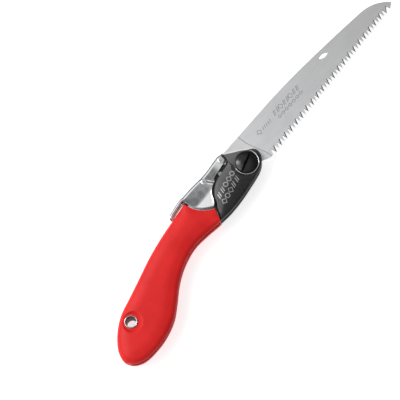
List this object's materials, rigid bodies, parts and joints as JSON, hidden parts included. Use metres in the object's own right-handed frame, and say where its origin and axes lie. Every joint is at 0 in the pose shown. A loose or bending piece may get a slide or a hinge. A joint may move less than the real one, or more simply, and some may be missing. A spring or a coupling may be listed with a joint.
{
  "type": "folding pull saw",
  "caption": "Folding pull saw: thin toothed steel blade on a domed pivot bolt, red rubber grip with a hang hole, black pivot covers and a chromed spine lever that locks the blade open.",
  "frame": {"origin": "centre of the pivot nut's outer face, on the blade's pivot axis, level with the underside of the grip", "axes": "+X along the opened blade to its tip, +Y towards the blade's spine and the lock lever, +Z out of the saw's right side, along the pivot axis from the nut to the bolt head"},
  "size_m": [0.3856, 0.0698, 0.02],
  "materials": {
    "blade_steel": "ground satin",
    "chrome": "bright plated",
    "lever_chrome": "bright plated",
    "steel": "bright",
    "bronze": "plain",
    "nylon": "moulded",
    "black_plastic": "satin, fine texture",
    "black_metal": "gloss black",
    "red_rubber": "fine stipple"
  },
  "bodies": {
    "handle": {"frame_plate_right": "chrome", "frame_plate_left": "chrome", "frame_spacer": "nylon", "frame_rivet_front": "steel", "frame_rivet_middle": "steel", "frame_rivet_rear": "steel", "open_stop_pin": "steel", "closed_stop_pin": "steel", "front_cover_right": "black_plastic", "front_cover_left": "black_plastic", "grip": "red_rubber", "hang_hole_eyelet": "chrome", "lever_pivot_pin": "steel", "lever_spring": "steel", "pivot_bolt": "black_metal", "bolt_seat_ring": "steel", "pivot_nut": "black_metal", "spring_washer": "steel", "bearing_washer_right": "bronze", "bearing_washer_left": "bronze"},
    "blade": {"blade": "blade_steel"},
    "lever": {"lock_lever": "lever_chrome", "lock_pin": "steel"}
  },
  "joints": [
    {"name": "blade_fold", "type": "hinge", "parent": "handle", "child": "blade", "pos_m": [0, 0, 0.01], "axis": [0, 0, 1], "range_deg": [-169.5, 0]},
    {"name": "lever_press", "type": "hinge", "parent": "handle", "child": "lever", "pos_m": [-0.036, 0.016, 0.01], "axis": [0, 0, 1], "range_deg": [-5.5, 0], "stiffness_Nm_per_rad": 0.6, "springref_deg": -20.05, "deforming": ["lever_spring"]}
  ]
}
